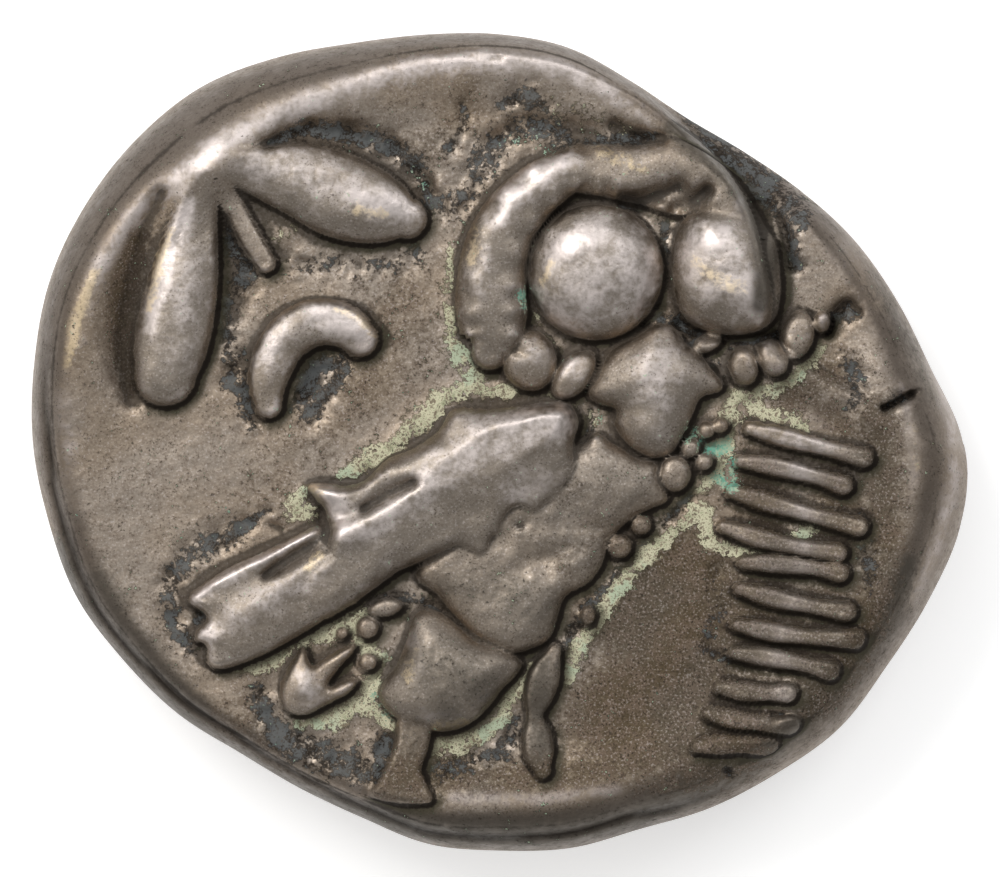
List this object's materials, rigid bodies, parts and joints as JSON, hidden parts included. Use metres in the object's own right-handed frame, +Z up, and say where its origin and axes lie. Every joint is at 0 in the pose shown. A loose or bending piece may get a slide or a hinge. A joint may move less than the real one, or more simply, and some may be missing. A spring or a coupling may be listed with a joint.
{
  "type": "struck silver coin",
  "caption": "Thick irregular struck silver coin with a raised owl, leaves and crescent on top and a helmeted head below, lying flat.",
  "frame": {"origin": "on the surface the coin lies on, under the middle of its outline", "axes": "+X along the coin's long way, +Z up through its thickness, out of the owl side"},
  "size_m": [0.024, 0.021, 0.006],
  "materials": {
    "silver": "worn toned silver with dark and pale green deposits in the recesses"
  },
  "bodies": {
    "root": {"tetradrachm": "silver"}
  },
  "joints": []
}
